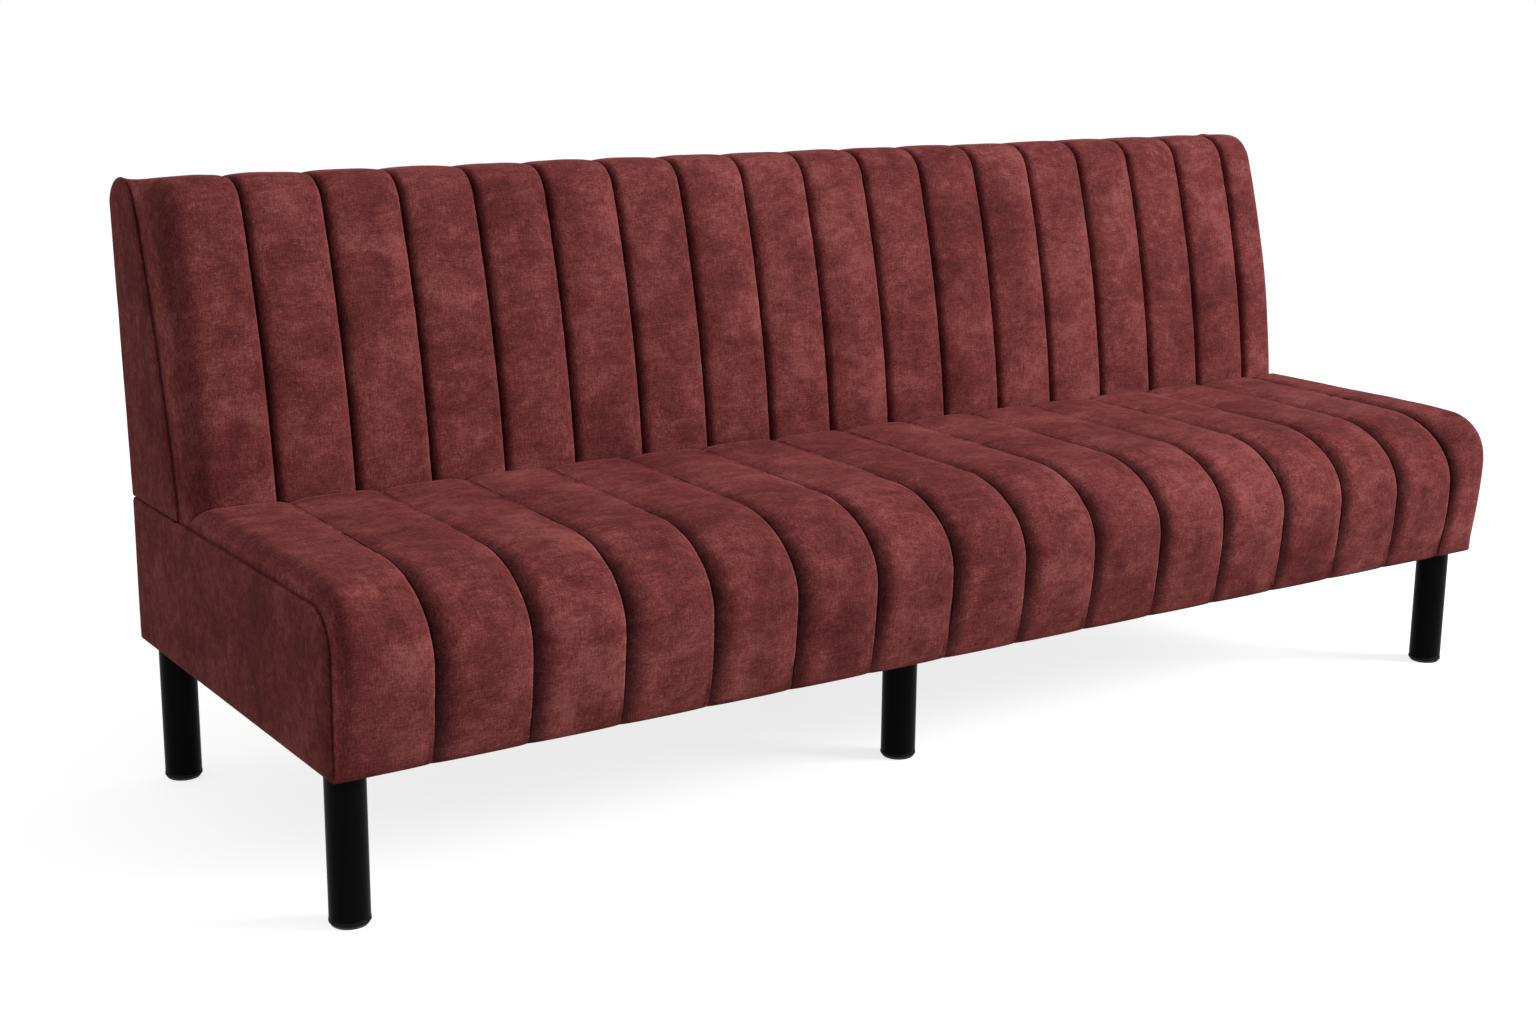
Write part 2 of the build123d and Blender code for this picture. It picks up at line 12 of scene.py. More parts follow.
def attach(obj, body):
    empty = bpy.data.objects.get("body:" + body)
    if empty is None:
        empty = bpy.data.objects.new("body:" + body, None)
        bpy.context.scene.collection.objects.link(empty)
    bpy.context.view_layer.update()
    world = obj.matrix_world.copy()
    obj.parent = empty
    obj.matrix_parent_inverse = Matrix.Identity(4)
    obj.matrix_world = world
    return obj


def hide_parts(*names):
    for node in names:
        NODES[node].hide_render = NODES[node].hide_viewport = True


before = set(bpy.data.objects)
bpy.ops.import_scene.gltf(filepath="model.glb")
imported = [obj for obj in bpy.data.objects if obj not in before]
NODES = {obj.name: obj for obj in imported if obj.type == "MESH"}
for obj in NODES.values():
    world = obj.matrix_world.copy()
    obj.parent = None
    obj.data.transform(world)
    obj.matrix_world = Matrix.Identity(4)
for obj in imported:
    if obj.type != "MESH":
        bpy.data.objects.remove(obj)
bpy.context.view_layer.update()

# Sizes of the CAD part, in metres
DEPTH_SHIFT = -0.330234
HALF = 1.0
HALF_CUSHION = 0.9937
UNDERSIDE = 0.195
PARTING = 0.398
BASE_DEPTH = 0.667
REAR_REACH = 0.693467

SEAT_CHANNELS = 16
SEAT_LAST = 0.089
SEAT_TOP = 0.427
SEAT_REAR = 0.4187
SEAT_END_REACH = 0.028

BACK_CHANNELS = 18
BACK_FIRST = 0.122
BACK_LAST = 0.094
BACK_FOOT = 0.432
BACK_KNEE = 0.425
BACK_SHOULDER = 0.804
BACK_TOP = 0.832
BACK_RECLINE = 0.2245
BACK_INNER_TOP = 0.796
BACK_LOW = 0.3446
REAR_RADIUS = 0.020
REAR_SLOPE = 0.0665
BACK_END_REACH = 0.036
BACK_COVER_LOW = 0.3983
CARCASS_FRONT = 0.010
CARCASS_REAR = 0.664

LEG_REACH = 0.962
MIDDLE_LEG = -0.064
LEGS = {
    "front_left": (-LEG_REACH, 0.0435),
    "front_middle": (MIDDLE_LEG, 0.151),
    "front_right": (LEG_REACH, 0.0435),
    "rear_left": (-LEG_REACH, 0.6235),
    "rear_middle": (MIDDLE_LEG, 0.516),
    "rear_right": (LEG_REACH, 0.6235),
}

# Clearance of a dressed piece, half the width of a sewn edge, and a distance beyond any painted seam shade
CLEAR = 0.0004
SEAM_HALF = 0.0004
FAR = 0.05


# Section curves, as points of depth and height


def arc(centre, radius, start, end, count):
    """Points of an arc, angles in degrees from the depth axis"""
    angles = np.radians(np.linspace(start, end, count))
    return [(centre[0] + radius * math.cos(a), centre[1] + radius * math.sin(a)) for a in angles]


def tangent_arc(a, b, direction, count):
    """Points of the arc from a to b that leaves a in a direction"""
    p, q = np.array(a, float), np.array(b, float)
    d = np.array(direction, float) / np.hypot(*direction)
    chord = q - p
    normal = np.array([-d[1], d[0]])
    bend = 2 * (chord @ normal) / (chord @ chord)
    if abs(bend) < 1e-9:
        return [tuple(p + chord * t) for t in np.linspace(0, 1, count)]
    centre = p + normal / bend
    start = math.atan2(*(p - centre)[::-1])
    end = math.atan2(*(q - centre)[::-1])
    if bend > 0 and end < start:
        end += 2 * math.pi
    if bend < 0 and end > start:
        end -= 2 * math.pi
    radius = abs(1 / bend)
    turns = np.linspace(start, end, count)
    return [tuple(centre + radius * np.array([math.cos(t), math.sin(t)])) for t in turns]


def straight(a, b, count):
    """Points of a straight line"""
    return [(a[0] + (b[0] - a[0]) * t, a[1] + (b[1] - a[1]) * t) for t in np.linspace(0, 1, count)]


def seat_outer(front, top, bend, foot, rear, rear_top):
    """Outside of the seat's section from its rear top over an oval front edge to its foot"""
    deep, high = bend
    points = straight((rear, rear_top), (front + deep, top), count=30)
    turns = np.linspace(0, math.pi / 2, 30)[1:]
    points += [(front + deep * (1 - math.sin(a)), top - high * (1 - math.cos(a))) for a in turns]
    points += tangent_arc((front, top - high), (foot, UNDERSIDE), (0, -1), count=20)[1:]
    return np.array(points)


def rear_rounding(crest):
    """Where the arc over the top meets the rear's rounding, and the way it goes there"""
    lean = math.atan(REAR_SLOPE)
    centre = (REAR_REACH - REAR_RADIUS * math.cos(lean), BACK_INNER_TOP + REAR_RADIUS * math.sin(lean))
    run, drop = centre[0] - crest[0], crest[1] - centre[1]
    radius = (run ** 2 + drop ** 2 - REAR_RADIUS ** 2) / (2 * (drop - REAR_RADIUS))
    turn = math.atan2(run, radius - drop)
    point = (crest[0] + radius * math.sin(turn), crest[1] - radius * (1 - math.cos(turn)))
    return point, (math.cos(turn), -math.sin(turn))


def back_outer(foot, shoulder, top, bulge):
    """Outside of the back's section from its foot over its top to its rear edge"""
    rise = BACK_SHOULDER - BACK_KNEE
    chord = math.hypot(shoulder - foot, rise)
    turn = 2 * math.atan(2 * bulge / chord)
    lean = math.atan2(shoulder - foot, rise)
    slope = lean + turn
    run = (top - BACK_SHOULDER) * math.tan((slope + math.pi / 2) / 2)
    knee, bend, crest = (foot, BACK_KNEE), (shoulder, BACK_SHOULDER), (shoulder + run, top)
    knee_way = (math.sin(lean - turn), math.cos(lean - turn))
    bend_way = (math.sin(slope), math.cos(slope))
    rear, rear_way = rear_rounding(crest)
    points = straight((foot, BACK_LOW), knee, count=10)
    points += tangent_arc(knee, bend, knee_way, count=46)[1:]
    points += tangent_arc(bend, crest, bend_way, count=16)[1:]
    points += tangent_arc(crest, rear, (1, 0), count=16)[1:]
    points += tangent_arc(rear, (REAR_REACH, BACK_INNER_TOP + CLEAR), rear_way, count=8)[1:]
    return np.array(points)


# Channels


# Steps across a channel, the roundness of its crown, its sides and a corner's turn, and the
# distance from a seam in which the side of the first channel sets in
CHANNEL_STEPS = 24
CROWN_POWER, SIDE_POWER, CORNER_POWER = 3.4, 0.52, 2.3
SEAM_LINE = 0.0003


def seam_places(first, last, count, total_inner):
    """Places of the seams along the bench with the two sewn ends"""
    if first is None:
        pitch = (2 * HALF - last) / (count - 1)
        inner = [pitch * n - HALF for n in range(1, count)]
    else:
        pitch = (2 * HALF - first - last) / (count - 2)
        inner = [first - HALF + pitch * n for n in range(count - 1)]
    return [-total_inner] + inner + [total_inner]


def hump(t):
    """Crown of a channel across its width: steep by the seams, broad on top"""
    return (1 - abs(2 * t - 1) ** CROWN_POWER) ** SIDE_POWER


def end_fall(distance, reach):
    """How far a corner has turned to its sewn end: 0 on the channel, 1 at the end"""
    if distance >= reach:
        return 0.0
    s = 1 - distance / reach
    return 1 - math.sqrt(max(0.0, 1 - s ** CORNER_POWER))


def stations(places, reach):
    """Rows along the bench, denser by the seams. Each has its place, its share of the crown and of
    the sewn end, its distance to the seam, the side of the seam that it is on, and its channel"""
    rows = []
    last = len(places) - 2
    for n, (a, b) in enumerate(zip(places, places[1:])):
        for k in range(0 if n == 0 else 1, CHANNEL_STEPS + 1):
            t = 0.5 - 0.5 * math.cos(math.pi * k / CHANNEL_STEPS)
            x = a + (b - a) * t
            left, right = x - a, b - x
            if n == 0:
                side = -min(1.0, right / SEAM_LINE)
                rows.append((x, hump(max(t, 0.5)), end_fall(left, reach), right, side, n))
            elif n == last:
                rows.append((x, hump(min(t, 0.5)), end_fall(right, reach), left, 1.0, n))
            else:
                side = 0.0 if min(left, right) < 1e-6 else float(np.sign(right - left))
                rows.append((x, hump(t), 0.0, min(left, right), side, n))
    return rows


def length_along(points):
    """Length of a curve up to each of its points"""
    return np.concatenate([[0], np.cumsum(np.hypot(*(points[1:] - points[:-1]).T))])


def resample(points, count):
    """Points spaced evenly along a curve"""
    run = length_along(points)
    wanted = np.linspace(0, run[-1], count)
    return np.stack([np.interp(wanted, run, points[:, 0]), np.interp(wanted, run, points[:, 1])], 1)


def left_normals(points):
    """Unit normals of a section curve, on the left of the way that it runs"""
    d = np.gradient(points, axis=0)
    n = np.stack([-d[:, 1], d[:, 0]], 1)
    n /= np.hypot(n[:, 0], n[:, 1])[:, None] + 1e-12
    return n


def ripple(x, s, seed, scale):
    """Soft noise between -1 and 1 at a place on the cloth"""
    return noise.noise(Vector((x / scale + seed * 7.31, s / scale, seed * 3.17)))


# Relief of the cloth: its unevenness, the pull by a seam, and the crease with its width
LIE_WIDE, LIE_FINE = 0.0012, 0.0006
PULL, PULL_REACH = 0.0008, 0.015
CREASE, CREASE_CHANGE, CREASE_WIDTH = 0.0060, 0.0012, 0.0022


def cloth_shape(x, s, seam, seed):
    """Relief of stretched velvet over foam with its sewn crease, in metres"""
    lie = LIE_WIDE * ripple(x, s, seed, scale=0.12) + LIE_FINE * ripple(x, s, seed + 1, scale=0.05)
    near = math.exp(-(seam / PULL_REACH) ** 2)
    pull = PULL * near * ripple(x * 0.3, s, seed + 2, scale=0.017)
    depth = CREASE + CREASE_CHANGE * ripple(0, s, seed + 3, scale=0.09)
    crease = depth * math.exp(-seam / CREASE_WIDTH)
    return lie * (1 - near * 0.6) + pull - crease


def placed(item):
    """The same object, linked into the scene"""
    bpy.context.scene.collection.objects.link(item)
    return item


def closed_rows(name, rings, extra=None):
    """Closed mesh through rings of as many points each, capped at both ends"""
    loop = len(rings[0])
    verts = [p for ring in rings for p in ring]
    faces = []
    for r in range(len(rings) - 1):
        for k in range(loop):
            a, b = r * loop + k, r * loop + (k + 1) % loop
            faces.append((a, b, b + loop, a + loop))
    last = (len(rings) - 1) * loop
    faces.append(tuple(range(loop)))
    faces.append(tuple(last + k for k in reversed(range(loop))))
    mesh = bpy.data.meshes.new(name)
    mesh.from_pydata(verts, [], faces)
    for key, values in (extra or {}).items():
        mesh.attributes.new(key, "FLOAT", "POINT").data.foreach_set("value", values)
    return finish_mesh(name, mesh)


# Distance from a sewn end at which rows start to take the corner's section, the run over which
# they do, and their share of it
CORNER_FROM, CORNER_RUN, CORNER_SHARE = 0.07, 0.05, 0.7


def mixed_section(curves, crown, fall, edge):
    """Section of one row, between the seam's, crown's, corner's and end's sections"""
    seam_curve, crown_curve, corner_curve, end_curve = curves
    base = seam_curve + (crown_curve - seam_curve) * crown
    mix = min(1.0, max(0.0, (CORNER_FROM - edge) / CORNER_RUN))
    base = base + (corner_curve - crown_curve) * mix * CORNER_SHARE
    return base + (end_curve - base) * fall


# Scale of a seam's distance on flat stretches, and where the painted shade's side fades in mid channel
FLAT_SCALE = 1.2
MID_CHANNEL, MID_RUN = 0.062, 0.02

# Painted seam shade and highlight: scale of the distance on the seam's shaded side, its change along
# the bench and its shrinking close to the seam, the scale on its lit side, and how far the flat stretch runs
SEAT_SHADE = {"shaded": 0.38, "change": 0.12, "shrink": 0.004, "lit": 1.5, "flat_run": 0.48}
BACK_SHADE = {"shaded": 1.0, "change": 0.0, "shrink": 0.0, "lit": 1.0, "flat_run": 0.001}


def painted_seam_shading(x, seam, side, edge, flat, shading):
    """What the velvet's painted seam shade reads along one row: its scaled distances to the seam, its
    sides of it, and the side of the row as a whole"""
    scale = shading["lit"]
    if side > 0:
        scale = (shading["shaded"] + shading["change"] * x) * seam / (seam + shading["shrink"] + 1e-9)
    crease = [min(seam * (scale * (1 - f) + FLAT_SCALE * f), edge + SEAM_HALF) for f in flat]
    way = side * min(1.0, max(0.0, (MID_CHANNEL - seam) / MID_RUN)) if seam < edge else -1.0
    return crease, [way * (1 - 0.5 * f) for f in flat], way


# Stretches at a section's start and end in which the relief fades, and its change by channel
START_FADE, END_FADE = 0.02, 0.006
CHANNEL_SEED = 0.37


def channelled(name, rows, sections, inner, count, seed, folds, shading):
    """Closed cushion through its sections, with the distances to its seams and their sides that the
    velvet reads for its painted seam shade and highlight. The relief goes to the left of the section's
    way: the back's runs up, so its creases are sunk, and the seat's runs to the front, so its stitch
    line is a fine raised one in the channels' valley"""
    curves = [resample(section, count) for section in sections]
    rings, crease, shade_side = [], [], []
    for x, crown, fall, seam, side, channel in rows:
        edge = HALF_CUSHION - abs(x)
        base = mixed_section(curves, crown, fall, edge)
        normal = left_normals(base)
        run = length_along(base)
        fade = np.clip(run / START_FADE, 0, 1) * np.clip((run[-1] - run) / END_FADE, 0, 1)
        hold = 1 - fall
        own = seed + channel * CHANNEL_SEED
        ring = []
        for k in range(count):
            out = cloth_shape(x, run[k], seam, own) * hold * fade[k]
            out += folds(x, run[k], run[-1], seam, own) * hold * fade[k]
            y, z = base[k] + normal[k] * out
            ring.append((x, y + DEPTH_SHIFT, z))
        ring += [(x, y + DEPTH_SHIFT, z) for y, z in inner]
        rings.append(ring)
        # Distances and sides that the velvet reads for its painted seam shade and highlight
        flat = np.clip(1 - run / shading["flat_run"], 0, 1)
        distances, ways, way = painted_seam_shading(x, seam, side, edge, flat, shading)
        crease += distances + [FAR] * len(inner)
        shade_side += ways + [way] * len(inner)
    return closed_rows(name, rings, {"crease": crease, "shade_side": shade_side})


# Distance from a seam in which drag lines fade out
FOLD_FADE = 0.01


def fold_bump(s, place, reach):
    """How strong drag lines are at a length along the section, strongest at a place"""
    return math.exp(-(((s - place) / reach) ** 2))


def seat_folds(x, s, length, seam, seed):
    """Soft drag lines of the seat where the velvet turns over its front edge"""
    depth, from_foot, reach = 0.0006, 0.20, 0.07
    bend = fold_bump(s - length, -from_foot, reach)
    side = min(1.0, seam / FOLD_FADE)
    return depth * bend * side * ripple(x * 2.2, s * 0.5, seed + 6, scale=0.03)


def back_folds(x, s, length, seam, seed):
    """Soft drag lines of the back by the seat and over its top"""
    depth = 0.0007
    low = fold_bump(s, 0.0, 0.13)
    high = fold_bump(s, 0.52, 0.06)
    side = min(1.0, seam / FOLD_FADE)
    return depth * (low + 0.7 * high) * side * ripple(x * 2.0, s * 0.6, seed + 6, scale=0.035)


def finish_mesh(name, mesh, smooth=True):
    """Object of a mesh with its normals outwards"""
    work = bmesh.new()
    work.from_mesh(mesh)
    bmesh.ops.recalc_face_normals(work, faces=work.faces)
    work.to_mesh(mesh)
    work.free()
    for polygon in mesh.polygons:
        polygon.use_smooth = smooth
    return placed(bpy.data.objects.new(name, mesh))


# Materials


def srgb(r, g, b):
    """Linear colour of an 8-bit sRGB one"""
    def linear(c):
        """Linear value of one 8-bit sRGB value"""
        c /= 255
        return c / 12.92 if c <= 0.04045 else ((c + 0.055) / 1.055) ** 2.4
    return (linear(r), linear(g), linear(b), 1.0)


def scaled(colour, factor):
    """Colour made lighter or darker, at most white"""
    return tuple(min(1, c * factor) for c in colour[:3]) + (1,)


def math_node(nodes, links, operation, a, b=None):
    """Math node of two sockets or numbers"""
    n = nodes.new("ShaderNodeMath")
    n.operation = operation
    for k, value in enumerate((a, b)):
        if value is None:
            continue
        if isinstance(value, (int, float)):
            n.inputs[k].default_value = value
        else:
            links.new(value, n.inputs[k])
    return n.outputs[0]


class Finish:
    """Node material, with the nodes that the finishes of the bench share"""

    def __init__(self, name):
        """New material with its plain shader"""
        self.material = bpy.data.materials.new(name)
        self.material.use_nodes = True
        self.nodes = self.material.node_tree.nodes
        self.links = self.material.node_tree.links
        self.shader = self.nodes["Principled BSDF"]

    def set(self, **values):
        """Sets constant inputs of the shader"""
        for key, value in values.items():
            self.shader.inputs[key.replace("_", " ")].default_value = value

    def new(self, kind, **inputs):
        """New node with some inputs set or linked"""
        n = self.nodes.new("ShaderNode" + kind)
        for key, value in inputs.items():
            socket = n.inputs[key.replace("_", " ")]
            if isinstance(value, bpy.types.NodeSocket):
                self.links.new(value, socket)
            else:
                socket.default_value = value
        return n

    def place(self):
        """Place on the object"""
        return self.new("TexCoord").outputs["Object"]

    def mapped(self, place, scale, shift=0.0):
        """Place on the object, stretched and moved"""
        moved = (shift, shift * 0.7, shift * 1.3)
        return self.new("Mapping", Vector=place, Scale=scale, Location=moved).outputs[0]

    def noise(self, place, **inputs):
        """Noise at a place"""
        return self.new("TexNoise", Vector=place, **inputs).outputs["Fac"]

    def cells(self, place, scale):
        """Distance to the middle of small cells at a place"""
        return self.new("TexVoronoi", Vector=place, Scale=scale).outputs["Distance"]

    def maths(self, operation, a, b=None):
        """Result of a math node"""
        return math_node(self.nodes, self.links, operation, a, b)

    def weighted(self, *pairs):
        """Sum of sockets times their weights"""
        total = None
        for value, weight in pairs:
            part = self.maths("MULTIPLY", value, weight)
            total = part if total is None else self.maths("ADD", total, part)
        return total

    def ramp(self, value, stops):
        """Colour of a value between stops of (place, colour)"""
        n = self.new("ValToRGB", Fac=value)
        elements = n.color_ramp.elements
        elements[0].position, elements[0].color = stops[0]
        elements[1].position, elements[1].color = stops[-1]
        for place, colour in stops[1:-1]:
            elements.new(place).color = colour
        return n.outputs[0]

    def mix(self, factor, a, b, blend="MIX"):
        """Colour between two colours, sockets or values"""
        n = self.nodes.new("ShaderNodeMix")
        n.data_type = "RGBA"
        n.blend_type = blend
        for key, value in (("Factor", factor), ("A", a), ("B", b)):
            if isinstance(value, bpy.types.NodeSocket):
                self.links.new(value, n.inputs[key])
            else:
                n.inputs[key].default_value = value
        return n.outputs["Result"]

    def colour(self, value):
        """Links a colour into the shader"""
        self.links.new(value, self.shader.inputs["Base Color"])

    def roughness(self, value, low, high):
        """Roughness of the shader, from low to high with a value"""
        n = self.new("MapRange", Value=value, To_Min=low, To_Max=high)
        self.links.new(n.outputs[0], self.shader.inputs["Roughness"])

    def bump(self, *layers):
        """Relief of the shader from layers of (height, strength, distance), each over the last"""
        normal = None
        for height, strength, distance in layers:
            n = self.new("Bump", Height=height, Strength=strength, Distance=distance)
            if normal is not None:
                self.links.new(normal, n.inputs["Normal"])
            normal = n.outputs[0]
        self.links.new(normal, self.shader.inputs["Normal"])


# Distance in millimetres over which a seam's painted light and shade run, and the brightest they may be
SHADE_REACH = 25
BRIGHTEST = 2

# Painted brightness of the velvet over the distance to a seam, in millimetres: painted shade in the
# crease and over the shaded side's flank, and a painted highlight on the lit side's lip
LIT_SIDE = [
    (0, 0.08), (0.4, 0.55), (0.8, 1.30), (2.4, 1.60), (4.5, 1.22), (8, 1.00), (13, 0.94), (25, 1.0),
]
SHADED_SIDE = [
    (0, 0.08), (0.9, 0.28), (2.5, 0.50), (5, 0.80), (8, 1.08), (11, 1.18), (16, 1.12), (25, 1.0),
]
# Painted shade on the sewn edge of a plain cover, a little lighter just inside it
BORDER = [(0, 0.35), (0.7, 0.60), (1.4, 1.04), (4, 1.06), (25, 1.0)]

# Colours of the velvet over its nap, the scale of its threads across and along them, and the
# mean of the weave, which is taken off so that the threads leave the colour as it is
NAP_COLOURS = [(0.31, (74, 29, 30)), (0.43, (98, 43, 43)), (0.52, (115, 54, 53)), (0.65, (144, 80, 77))]
THREAD_FINE, THREAD_LONG = 600.0, 90.0
WOVEN_MEAN = 0.55


def seam_light(velvet, shaded, lit):
    """Painted shade and highlight of the velvet by a seam, from the distance to it and the side of it"""
    edge = velvet.new("Attribute")
    edge.attribute_name = "crease"
    near = velvet.maths("MULTIPLY", edge.outputs["Fac"], 1000 / SHADE_REACH)
    sides = []
    for values in (lit, shaded):
        greys = [(spot / SHADE_REACH, (value / BRIGHTEST,) * 3 + (1,)) for spot, value in values]
        sides.append(velvet.ramp(near, greys))
    # Side of the seam: -1 takes the lit ramp's painted highlight, 1 the shaded ramp's painted shade
    shade_side = velvet.new("Attribute")
    shade_side.attribute_name = "shade_side"
    turn = velvet.new("MapRange", Value=shade_side.outputs["Fac"], From_Min=-1.0)
    light = velvet.mix(turn.outputs[0], sides[0], sides[1])
    full = velvet.new("VectorMath")
    full.operation = "SCALE"
    full.inputs["Scale"].default_value = BRIGHTEST
    velvet.links.new(light, full.inputs[0])
    return full.outputs[0]


def velvet_finish(name, stretch, seed, shaded, lit):
    """Burgundy crushed velvet: cloudy nap with scuffs, a woven grain and a soft sheen; its colour is
    multiplied by painted shade by a seam and a painted highlight on the seam's lit side"""
    velvet = Finish(name)
    place = velvet.place()
    cloth = velvet.mapped(place, stretch, seed)
    streaks = velvet.mapped(place, (stretch[0] * 0.5, stretch[1] * 1.5, stretch[2] * 1.5), seed + 3)
    across = velvet.mapped(place, (THREAD_LONG, 560.0, THREAD_FINE))
    along = velvet.mapped(place, (THREAD_FINE, THREAD_LONG, THREAD_LONG))
    patch = velvet.noise(cloth, Scale=8.0, Detail=4.0, Roughness=0.58, Distortion=0.25)
    cloud = velvet.noise(cloth, Scale=25.0, Detail=6.0, Roughness=0.60, Distortion=0.7)
    scuff = velvet.noise(streaks, Scale=55.0, Detail=4.0, Roughness=0.60, Distortion=0.9)
    weft = velvet.noise(across, Scale=1.0, Detail=2.0, Roughness=0.7)
    warp = velvet.noise(along, Scale=1.0, Detail=2.0, Roughness=0.7)
    grain = velvet.noise(place, Scale=520.0, Detail=3.0, Roughness=0.8)
    nap = velvet.noise(cloth, Scale=110.0, Detail=5.0, Roughness=0.65, Distortion=0.7)
    total = velvet.weighted((patch, 0.40), (cloud, 0.33), (scuff, 0.27))
    woven = velvet.weighted((weft, 0.30), (warp, 0.30), (grain, 0.50))
    shade = velvet.maths("ADD", total, velvet.maths("SUBTRACT", woven, WOVEN_MEAN))
    cloth_colour = velvet.ramp(shade, [(spot, srgb(*colour)) for spot, colour in NAP_COLOURS])
    # The cloth's colour times the painted seam shade and highlight
    velvet.colour(velvet.mix(1.0, cloth_colour, seam_light(velvet, shaded, lit), "MULTIPLY"))
    velvet.roughness(total, 0.74, 0.95)
    velvet.set(Specular_IOR_Level=0.05, Sheen_Weight=0.15, Sheen_Roughness=0.28)
    velvet.set(Sheen_Tint=srgb(225, 125, 118))
    velvet.bump((nap, 0.14, 0.0018), (woven, 0.45, 0.0005))
    return velvet.material


def coated_metal(name, colour, rough, fleck, gloss):
    """Powder-coated steel with a fine orange peel"""
    steel = Finish(name)
    place = steel.place()
    spots = steel.noise(place, Scale=420.0, Detail=3.0, Roughness=0.6)
    wide = steel.noise(place, Scale=14.0, Detail=2.0)
    steel.colour(steel.ramp(wide, [(0.3, scaled(colour, 1 - fleck)), (0.7, scaled(colour, 1 + fleck))]))
    steel.roughness(spots, rough - 0.05, rough + 0.07)
    steel.set(Specular_IOR_Level=gloss)
    steel.bump((spots, 0.12, 0.0002))
    return steel.material


def zinc(name):
    """Zinc-plated steel with faint turning marks"""
    steel = Finish(name)
    turned = steel.mapped(steel.place(), (1, 1, 14))
    rings = steel.noise(turned, Scale=90.0, Detail=4.0, Roughness=0.7)
    steel.colour(steel.ramp(rings, [(0.3, srgb(150, 152, 156)), (0.7, srgb(196, 197, 198))]))
    steel.roughness(rings, 0.25, 0.42)
    steel.set(Metallic=1.0)
    return steel.material


def moulded_plastic(name, colour):
    """Black moulded plastic with a fine spark grain"""
    plastic = Finish(name)
    place = plastic.place()
    wide = plastic.noise(place, Scale=30.0, Detail=2.0)
    plastic.colour(plastic.ramp(wide, [(0.3, colour), (0.7, scaled(colour, 1.25))]))
    plastic.set(Roughness=0.55)
    plastic.bump((plastic.cells(place, 1500.0), 0.15, 0.0001))
    return plastic.material


# Thickness of a layer of plywood, in millimetres
PLY_LAYER = 1.5


def ply_edges(board, place, colour, dark, up):
    """Colour of a board with darker plies on the faces that stand along one axis"""
    normal = board.new("NewGeometry").outputs["Normal"]
    facing = board.new("SeparateXYZ", Vector=normal).outputs[up]
    height = board.new("SeparateXYZ", Vector=place).outputs[up]
    edge = board.maths("LESS_THAN", board.maths("ABSOLUTE", facing), 0.5)
    layer = board.maths("MULTIPLY", height, 1000 / PLY_LAYER / 2)
    band = board.maths("GREATER_THAN", board.maths("FRACT", layer), 0.5)
    strength = board.maths("MULTIPLY", board.maths("MULTIPLY", edge, band), 0.55)
    return board.mix(strength, colour, scaled(dark, 0.55))


def wood(name, light, dark, axis, plies=None):
    """Planed softwood or plywood, with its grain along one axis and plies up another"""
    board = Finish(name)
    place = board.place()
    scale = [22.0, 22.0, 22.0]
    scale[axis] = 1.4
    grain = board.noise(board.mapped(place, scale), Scale=3.0, Detail=8.0, Roughness=0.62, Distortion=1.4)
    colour = board.ramp(grain, [(0.32, dark), (0.55, light), (0.75, scaled(light, 1.12))])
    if plies is not None:
        colour = ply_edges(board, place, colour, dark, plies)
    board.colour(colour)
    board.set(Roughness=0.66)
    board.bump((grain, 0.2, 0.0004))
    return board.material


def cloth_sheet(name, colour):
    """Thin black non-woven cloth with pressed dots"""
    cloth = Finish(name)
    place = cloth.place()
    fibres = cloth.noise(place, Scale=260.0, Detail=5.0, Roughness=0.7)
    cloth.colour(cloth.ramp(fibres, [(0.3, colour), (0.75, scaled(colour, 1.9))]))
    cloth.set(Roughness=0.95)
    cloth.bump((cloth.cells(place, 420.0), 0.5, 0.0003))
    return cloth.material


def foam_material(name, colour):
    """Open-cell upholstery foam"""
    foam = Finish(name)
    place = foam.place()
    wide = foam.noise(place, Scale=12.0, Detail=3.0)
    foam.colour(foam.ramp(wide, [(0.3, colour), (0.7, scaled(colour, 1.1))]))
    foam.set(Roughness=0.9)
    foam.bump((foam.cells(place, 800.0), 0.4, 0.0006))
    return foam.material


def dress(item, m):
    """Gives a piece one material"""
    item.data.materials.clear()
    item.data.materials.append(m)


# Both velvets carry painted shade and highlight by their seams and sewn edges
VELVET = velvet_finish("channelled_velvet", (0.85, 1.0, 0.8), 0.0, SHADED_SIDE, LIT_SIDE)
VELVET_PLAIN = velvet_finish("plain_velvet", (1.0, 1.1, 0.75), 4.0, BORDER, BORDER)
LEG_BLACK = coated_metal("leg_black", srgb(6, 6, 6), rough=0.38, fleck=0.12, gloss=0.03)
FOOT_BLACK = coated_metal("foot_black", srgb(17, 17, 17), rough=0.5, fleck=0.15, gloss=0.09)
PLASTIC = moulded_plastic("black_plastic", srgb(22, 22, 23))
ZINC = zinc("zinc_steel")
PINE = wood("softwood", srgb(214, 178, 128), srgb(178, 134, 84), axis=0)
PINE_CROSS = wood("softwood_cross", srgb(212, 176, 126), srgb(176, 132, 82), axis=1)
PLY = wood("plywood", srgb(206, 172, 124), srgb(172, 134, 90), axis=0, plies=2)
PLY_UPRIGHT = wood("plywood_upright", srgb(206, 172, 124), srgb(172, 134, 90), axis=2, plies=0)
DUST = cloth_sheet("dust_cloth", srgb(26, 26, 27))
FOAM = foam_material("foam", srgb(232, 222, 190))


# Seat and back cushions


def soft(item, m, slot, fill, *nodes):
    """Dresses a padded piece of the bench, attaches it to the bench and hides the CAD nodes that it stands
    for
    """
    dress(item, m)
    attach(item, "bench")
    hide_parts(*nodes)
    return item


# Inner face of the seat cushion, over the foam's front and top
INNER_FRONT = 0.0097
INNER_TOP = 0.3803

# Points round the outside of the seat's section, and the section at its sewn ends
SEAT_POINTS = 84
SEAT_END = seat_outer(
    front=-0.005, top=PARTING, bend=(0.052, 0.052), foot=-0.002,
    rear=SEAT_REAR + 0.042, rear_top=PARTING,
)


